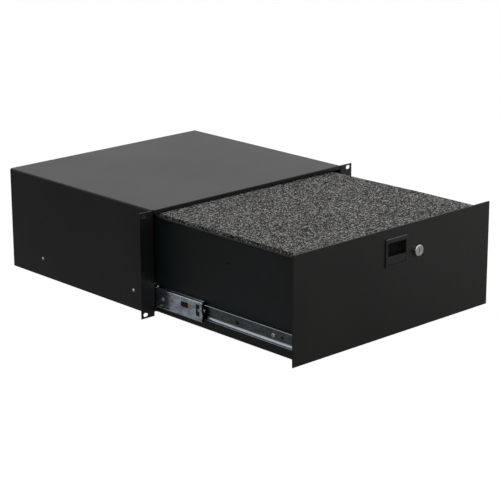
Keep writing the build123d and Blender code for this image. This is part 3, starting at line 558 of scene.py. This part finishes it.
for material, names in DRESS.items():
    for name in names:
        dress(name, material)
print("dressed:", sum(len(names) for names in DRESS.values()), "of", len(nodes))

# %% [markdown]
# ## Helpers for modelling by hand
# Operators act on whatever is selected, and the loaded nodes start out selected. So each piece
# begins with nothing selected, and its edges are picked by their place. At the end its place goes
# into its mesh, which leaves the object at the frame's origin, as a CAD node is.

# %% Start, pick and settle
def start_piece():
    bpy.ops.object.select_all(action="DESELECT")


def apply_place():
    bpy.ops.object.transform_apply(location=True, rotation=True, scale=True)


def pick_edges(piece, test):
    """Select, in edit mode, the edges whose middle and ends pass a test."""
    bpy.ops.object.mode_set(mode="EDIT")
    bpy.ops.mesh.select_mode(type="EDGE")
    bpy.ops.mesh.select_all(action="DESELECT")
    bpy.ops.object.mode_set(mode="OBJECT")
    found = 0
    for edge in piece.data.edges:
        ends = [piece.data.vertices[end].co for end in edge.vertices]
        edge.select = test(sum(ends, Vector()) / 2, ends)
        found += edge.select
    bpy.ops.object.mode_set(mode="EDIT")
    return found


def face_outwards():
    """Turn the faces of the piece in edit mode outwards, and leave edit mode."""
    bpy.ops.mesh.select_all(action="SELECT")
    bpy.ops.mesh.normals_make_consistent(inside=False)
    bpy.ops.object.mode_set(mode="OBJECT")


def settle(piece, name, material):
    """Put the piece's place into its mesh, and name and finish it."""
    apply_place()
    piece.name = name
    piece.data.name = name
    piece.data.materials.clear()
    piece.data.materials.append(material)
    return piece


print("helpers for:", start_piece.__name__, pick_edges.__name__, settle.__name__)

# %% [markdown]
# ## The foam block
# The real block is cut from a sheet of soft foam with a hot wire or a saw: flat faces, crisp but
# never sharp edges, and an open skin that breaks up every straight line. A grid the size of its
# top is laid first, because a fine grid can be roughened, and its outer edge is then extruded down
# in steps to make the sides.

# %% Lay the foam
FOAM_STEP = 0.0022
SIDE_STEPS = 9
RIM_DROPS = [0.0012, 0.0023, 0.0013, 0.0012]
NEAR = 0.00001


def lay_foam(low, high):
    """A fine grid at the top, with sides drawn down from its outer edge and a closed base."""
    start_piece()
    size = high - low
    middle = (low + high) / 2
    bpy.ops.mesh.primitive_grid_add(
        x_subdivisions=round(size.x / FOAM_STEP),
        y_subdivisions=round(size.y / FOAM_STEP),
        size=1.0,
        location=(middle.x, middle.y, high.z),
    )
    foam = bpy.context.object
    foam.scale = (size.x, size.y, 1.0)
    apply_place()

    def on_outline(spot, ends):
        at_side = all(min(end.x - low.x, high.x - end.x) < NEAR for end in ends)
        at_front = all(min(end.y - low.y, high.y - end.y) < NEAR for end in ends)
        return at_side or at_front

    print("foam outline edges:", pick_edges(foam, on_outline))
    for drop in RIM_DROPS + [(size.z - sum(RIM_DROPS)) / SIDE_STEPS] * SIDE_STEPS:
        bpy.ops.mesh.extrude_region_move(TRANSFORM_OT_translate={"value": (0, 0, -drop)})
    bpy.ops.mesh.edge_face_add()
    face_outwards()
    return foam


foam_low, foam_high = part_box("foam_block")
foam = lay_foam(foam_low, foam_high)
print("foam faces:", len(foam.data.polygons))

# %% [markdown]
# ## Swell, sag and skin
# The soft block is a little wider than the drawer. Near the front it swells over the right rim,
# and it sags a little to the rear. Its upper rim is rounded by a step. Two cloud textures, one
# fine and one wide, then push the skin in and never out, so that the block still passes under the
# case's lip. A cloth simulation isn't needed, because cut foam has no skin under tension.

# %% Shape the foam
RIM_ROUND = 0.0009
SWELL_SIDE = 0.0025
SWELL_UP = 0.0005
SWELL_SHARPNESS = 8
SAG_REAR = 0.0010
SWELL_START = -0.04
SWELL_FULL = -0.20
SKIN_CLOUDS = {0.0045: 0.0011, 0.03: 0.0006}


def swell_foam(foam, low, high):
    for vertex in foam.data.vertices:
        spot = vertex.co
        edge = min(spot.x - low.x, high.x - spot.x, spot.y - low.y, high.y - spot.y)
        if spot.z > high.z - NEAR and edge < NEAR:
            spot.z -= RIM_ROUND
        if spot.z > high.z - sum(RIM_DROPS[:3]) - NEAR:
            front = min(max((spot.y - SWELL_START) / (SWELL_FULL - SWELL_START), 0.0), 1.0)
            right = max(spot.x, 0.0) / high.x
            spot.x += SWELL_SIDE * front * right**SWELL_SHARPNESS
            spot.z += (SWELL_UP * front - SAG_REAR * (1.0 - front)) * right


def roughen_foam(foam):
    for cloud_size, depth in SKIN_CLOUDS.items():
        cloud = bpy.data.textures.new("foam_cloud", "CLOUDS")
        cloud.noise_scale = cloud_size
        rough = foam.modifiers.new("rough", "DISPLACE")
        rough.texture = cloud
        rough.texture_coords = "LOCAL"
        rough.mid_level = 0.0
        rough.strength = -depth
        bpy.ops.object.modifier_apply(modifier="rough")
    bpy.ops.object.shade_smooth()


swell_foam(foam, foam_low, foam_high)
roughen_foam(foam)
settle(foam, "foam_insert", foam_grey)
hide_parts("foam_block")
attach(foam, "drawer")
print("foam shaped:", foam.name)

# %% [markdown]
# ## Rolled edges of the inner members
# The web of a rolled slide runs into its ball groove in a wide curve, and on the lower edge that
# curve faces up and shines along the whole slide; on the upper edge it is smaller. The solid has a
# tight bend there, and a quarter of an ellipse fills it. A circle is squeezed to the width and
# height of the curve, three quarters of it are deleted, the rest is drawn to the corner as a fan,
# and the fan is extruded along the slide.

# %% Draw a quarter of an ellipse
EDGE_POINTS = 64
EDGE_MERGE = 0.000001


def quarter_ellipse(centre, corner, wide, tall, inwards, end):
    """The part of an upright ellipse on one side and at one end, as a fan from the corner."""
    bpy.ops.mesh.primitive_circle_add(
        vertices=EDGE_POINTS, radius=1.0, location=centre, rotation=(radians(90), 0, 0)
    )
    edge = bpy.context.object
    edge.scale = (wide, tall, 1.0)
    apply_place()

    def off_curve(spot, ends):
        return (spot.x - centre.x) * inwards < 0 or (spot.z - centre.z) * end < 0

    pick_edges(edge, off_curve)
    bpy.ops.mesh.delete(type="EDGE")
    bpy.ops.mesh.select_all(action="SELECT")
    bpy.ops.mesh.extrude_region_move()
    bpy.ops.transform.resize(value=(0, 0, 0), center_override=corner)
    bpy.ops.mesh.select_all(action="SELECT")
    bpy.ops.mesh.remove_doubles(threshold=EDGE_MERGE)
    return edge


print("points on a whole ellipse:", EDGE_POINTS)

# %% [markdown]
# ## Four edges along the slides
# The curve's sizes follow from the member's box: its web is one strip thick, and the groove's
# floor lies a little inside the member's end. The lower edge is twice as tall as the upper one.

# %% Model the rolled edges
LOW, HIGH = -1, 1
EDGE_TALL = {LOW: 0.0044, HIGH: 0.0022}
EDGE_TIP = 0.0004
EDGE_FLOOR = 0.0014


def model_rolled_edge(side, end):
    start_piece()
    low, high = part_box(f"inner_member_{side}")
    inner, outer = (high.x, low.x) if side == "left" else (low.x, high.x)
    inwards = 1 if inner > outer else -1
    web = inner - inwards * STRIP
    tip = outer + inwards * EDGE_TIP
    floor_z = (high.z if end == HIGH else low.z) - end * EDGE_FLOOR
    tall = EDGE_TALL[end]
    centre = Vector((tip, low.y, floor_z - end * tall))
    corner = Vector((web, low.y, floor_z))
    edge = quarter_ellipse(centre, corner, abs(web - tip), tall, inwards, end)
    bpy.ops.mesh.extrude_region_move(TRANSFORM_OT_translate={"value": (0, high.y - low.y, 0)})
    face_outwards()
    bpy.ops.object.shade_smooth_by_angle(angle=radians(30))
    return settle(edge, f"rolled_edge_{side}_{'high' if end == HIGH else 'low'}", raceway_zinc)


for side in ("left", "right"):
    for end in (LOW, HIGH):
        edge = model_rolled_edge(side, end)
        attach(edge, "drawer")
print("rolled edge faces:", len(edge.data.polygons))

# %% [markdown]
# ## One pan-head screw
# Three screws hold each inner member to the drawer. A pan head is a low cylinder with a rounded
# rim and a cross recess. The cross is a thin bar and its copy turned by a right angle, and a
# boolean cuts it from the head, which is the quickest way to a clean recess.

# %% Model one screw
HEAD_TALL = 0.0018
HEAD_ROUND = 0.0010
HEAD_POINTS = 40
SHANK_RADIUS = 0.0019
SHANK_POINTS = 24
RECESS_LONG = 0.0040
RECESS_WIDE = 0.0009
RECESS_DEEP = 0.0012
ALONG_X = (0, radians(90), 0)


def model_cross():
    """Two crossed bars at the top of a head, to cut its recess with."""
    start_piece()
    top = (-HEAD_TALL, 0, 0)
    bpy.ops.mesh.primitive_cube_add(size=1.0, location=top)
    cross = bpy.context.object
    cross.scale = (2 * RECESS_DEEP, RECESS_LONG, RECESS_WIDE)
    apply_place()
    bpy.ops.object.mode_set(mode="EDIT")
    bpy.ops.mesh.select_all(action="SELECT")
    bpy.ops.mesh.duplicate()
    bpy.ops.transform.rotate(value=radians(90), orient_axis="X", center_override=top)
    bpy.ops.object.mode_set(mode="OBJECT")
    return cross


def model_screw(radius, shank):
    """One screw whose head looks along -X, with its seat at X = 0."""
    cross = model_cross()
    start_piece()
    bpy.ops.mesh.primitive_cylinder_add(
        vertices=HEAD_POINTS, radius=radius, depth=HEAD_TALL,
        location=(-HEAD_TALL / 2, 0, 0), rotation=ALONG_X,
    )
    screw = bpy.context.object
    apply_place()
    pick_edges(screw, lambda spot, ends: all(end.x < NEAR - HEAD_TALL for end in ends))
    bpy.ops.mesh.bevel(offset=HEAD_ROUND, segments=5, profile=0.5)
    bpy.ops.mesh.select_all(action="DESELECT")
    bpy.ops.mesh.primitive_cylinder_add(
        vertices=SHANK_POINTS, radius=SHANK_RADIUS, depth=shank,
        location=(shank / 2, 0, 0), rotation=ALONG_X,
    )
    bpy.ops.object.mode_set(mode="OBJECT")
    cut = screw.modifiers.new("recess", "BOOLEAN")
    cut.object = cross
    cut.operation = "DIFFERENCE"
    cut.solver = "EXACT"
    cut.use_self = True
    bpy.ops.object.modifier_apply(modifier="recess")
    bpy.ops.object.shade_smooth_by_angle(angle=radians(35))
    bpy.data.objects.remove(cross)
    return screw


screws_low, screws_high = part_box("inner_screws")
seat = abs(screws_low.x) - HEAD_TALL
shank_end = max(v.co.x for v in nodes["inner_screws"].data.vertices if v.co.x < 0)
screw = model_screw((screws_high.z - screws_low.z) / 2, seat - abs(shank_end))
print("faces of one screw:", len(screw.data.polygons))

# %% [markdown]
# ## Six screws from one
# The places of the solid screws are read from their CAD node, as groups of points along Y. The
# screw is copied to each of them on both sides, each copy with its own mesh, and the right ones
# are turned half round. They are joined, because the CAD has them in one node too.

# %% Place the screws
POINTS_APART = 0.02


def screw_depths():
    """The Y of each screw, from the points of the CAD node."""
    groups = []
    for y in sorted(vertex.co.y for vertex in nodes["inner_screws"].data.vertices):
        if not groups or y - groups[-1][-1] > POINTS_APART:
            groups.append([])
        groups[-1].append(y)
    return [(group[0] + group[-1]) / 2 for group in groups]


def place_screws(screw):
    copies = []
    for depth in screw_depths():
        for side in (-1, 1):
            copy = screw.copy()
            copy.data = screw.data.copy()
            copy.location = (side * seat, depth, (screws_low.z + screws_high.z) / 2)
            copy.rotation_euler = (0, 0, 0 if side < 0 else pi)
            bpy.context.scene.collection.objects.link(copy)
            copies.append(copy)
    bpy.data.objects.remove(screw)
    start_piece()
    for copy in copies:
        copy.select_set(True)
    bpy.context.view_layer.objects.active = copies[0]
    apply_place()
    bpy.ops.object.join()
    return settle(bpy.context.object, "pan_head_screws", fitting_steel)


screws = place_screws(screw)
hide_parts("inner_screws")
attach(screws, "drawer")
print("screws at Y:", [round(y, 4) for y in screw_depths()], "faces:", len(screws.data.polygons))

# %% [markdown]
# ## The latch's spring
# A coil spring under the latch bolt pushes it up, and the paddle presses the spring together. The
# solid coil is rigid, so the bolt would cut into it on its way down. Here a Screw modifier carries
# a small circle round and up, which makes the coil in one step, and its two ends are closed.

# %% Model the spring
SPRING_TURNS = 5
STEPS_PER_TURN = 24
WIRE_RADIUS = 0.0003
WIRE_POINTS = 8


def model_spring(low, high):
    start_piece()
    middle = (low + high) / 2
    reach = (high.x - low.x) / 2 - WIRE_RADIUS
    bpy.ops.mesh.primitive_circle_add(
        vertices=WIRE_POINTS, radius=WIRE_RADIUS, location=(reach, 0, 0),
        rotation=(radians(90), 0, 0),
    )
    coil = bpy.context.object
    apply_place()
    coil.location = (middle.x, middle.y, low.z + WIRE_RADIUS)
    turns = coil.modifiers.new("turns", "SCREW")
    turns.iterations = SPRING_TURNS
    turns.screw_offset = (high.z - low.z - 2 * WIRE_RADIUS) / SPRING_TURNS
    turns.steps = turns.render_steps = STEPS_PER_TURN
    bpy.ops.object.modifier_apply(modifier="turns")
    bpy.ops.object.mode_set(mode="EDIT")
    bpy.ops.mesh.select_all(action="SELECT")
    bpy.ops.mesh.fill_holes(sides=WIRE_POINTS)
    face_outwards()
    bpy.ops.object.shade_smooth_by_angle(angle=radians(60))
    return settle(coil, "coil_spring", fitting_steel)


spring_low, spring_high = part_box("latch_spring")
spring = model_spring(spring_low, spring_high)
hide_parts("latch_spring")
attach(spring, "drawer")
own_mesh(spring)
print("spring faces:", len(spring.data.polygons))

# %% [markdown]
# ## The floor
# The object stands on a pale floor. What the camera sees of it is almost plain white, from Light
# Path, so the light on the object stays at a plain level, and a faint shadow is left under the
# case. Reflections see the floor greyer than the camera does, and greyer still on the left, as in
# a studio whose light stands over the object and to its right. Black paint shows little else, so
# this is what tells its left side from its front.

# %% Floor
FLOOR_SIZE = 30.0
FLOOR_GAP = 0.0005
FLOOR_DARK = (0.90, 0.90, 0.90)
FLOOR_LIGHT = (0.94, 0.94, 0.94)
REFLECTED_LEFT = (0.20, 0.20, 0.20)
REFLECTED_RIGHT = (0.60, 0.60, 0.60)
REFLECTED_FROM_X = -0.5
REFLECTED_TO_X = 0.8
GLOW = 1.04
GLOW_SHARE = 0.93


def pale_floor():
    white = Finish("floor_white", FLOOR_DARK, 0.9, Specular_IOR_Level=0.0)
    white.feed("Base Color", white.mix(white.noise(0.8), FLOOR_DARK, FLOOR_LIGHT))
    rightwards = white.spread(white.along("X"), REFLECTED_FROM_X, REFLECTED_TO_X)
    reflected = white.mix(rightwards, REFLECTED_LEFT, REFLECTED_RIGHT)
    dim = white.node("ShaderNodeEmission", None, {"Color": reflected})
    glow = white.node("ShaderNodeEmission", None, {"Color": (1, 1, 1, 1), "Strength": GLOW})
    glossy = white.node("ShaderNodeLightPath", output="Is Glossy Ray")
    seen = white.node("ShaderNodeLightPath", output="Is Camera Ray")
    white.show(white.blend(seen * GLOW_SHARE, white.blend(glossy, white.lit, dim), glow))
    return white.material


start_piece()
floor_z = cad_box[0][2] - FLOOR_GAP
bpy.ops.mesh.primitive_grid_add(
    x_subdivisions=4, y_subdivisions=4, size=FLOOR_SIZE, location=(0, 0, floor_z)
)
floor = settle(bpy.context.object, "floor", pale_floor())
print("floor at Z", round(floor_z, 4))

# %% [markdown]
# ## The world
# The world lights the object softly from all sides. Light Path tells rays apart: the camera sees
# plain white behind the floor, polished metal reflects a little less, and the light itself is
# much weaker, so that colours render as they are written.

# %% World
WORLD_LIGHT = 0.36
WORLD_REFLECTED = 0.8
WORLD_SEEN = 1.0


def add_world():
    world = bpy.data.worlds.new("studio")
    bpy.context.scene.world = world
    world.use_nodes = True
    sky = Wiring(world.node_tree)

    def white(strength):
        inputs = {"Color": (1, 1, 1, 1), "Strength": strength}
        return sky.node("ShaderNodeBackground", None, inputs)

    shown = white(WORLD_LIGHT)
    for ray, strength in (("Is Glossy Ray", WORLD_REFLECTED), ("Is Camera Ray", WORLD_SEEN)):
        share = sky.node("ShaderNodeLightPath", output=ray)
        shown = sky.blend(share, shown, white(strength))
    sky.show(shown)


add_world()
print("world: lights", WORLD_LIGHT, "reflects", WORLD_REFLECTED, "shows", WORLD_SEEN)

# %% [markdown]
# ## Lamps
# Two wide discs stand over the object and give it soft light from the front left and from above.
# A small one at the front left draws the slides and the rims, and one at the right lights the
# panel. Each is given by its place, its width in metres and its power in watts, and all of them
# face the drawer's middle.

# %% Lamps
LAMPS = {
    "key": ((-0.9, -1.6, 2.0), 2.4, 24.0),
    "top": ((0.3, 0.3, 2.2), 2.4, 20.0),
    "front": ((-2.1, -1.6, 0.35), 0.5, 3.0),
    "right": ((1.2, -1.5, 0.7), 1.0, 5.0),
}
LAMPS_FACE = (0, -0.1, 0)


def add_lamp(name, place, size, power):
    data = bpy.data.lights.new(name, "AREA")
    data.shape = "DISK"
    data.size = size
    data.energy = power
    lamp = bpy.data.objects.new(name, data)
    bpy.context.scene.collection.objects.link(lamp)
    lamp.location = place
    towards = Vector(LAMPS_FACE) - Vector(place)
    lamp.rotation_euler = towards.to_track_quat("-Z", "Y").to_euler()


for name, (place, size, power) in LAMPS.items():
    add_lamp(name, place, size, power)
bpy.context.scene.view_settings.view_transform = "Standard"
print("lamps:", list(LAMPS))
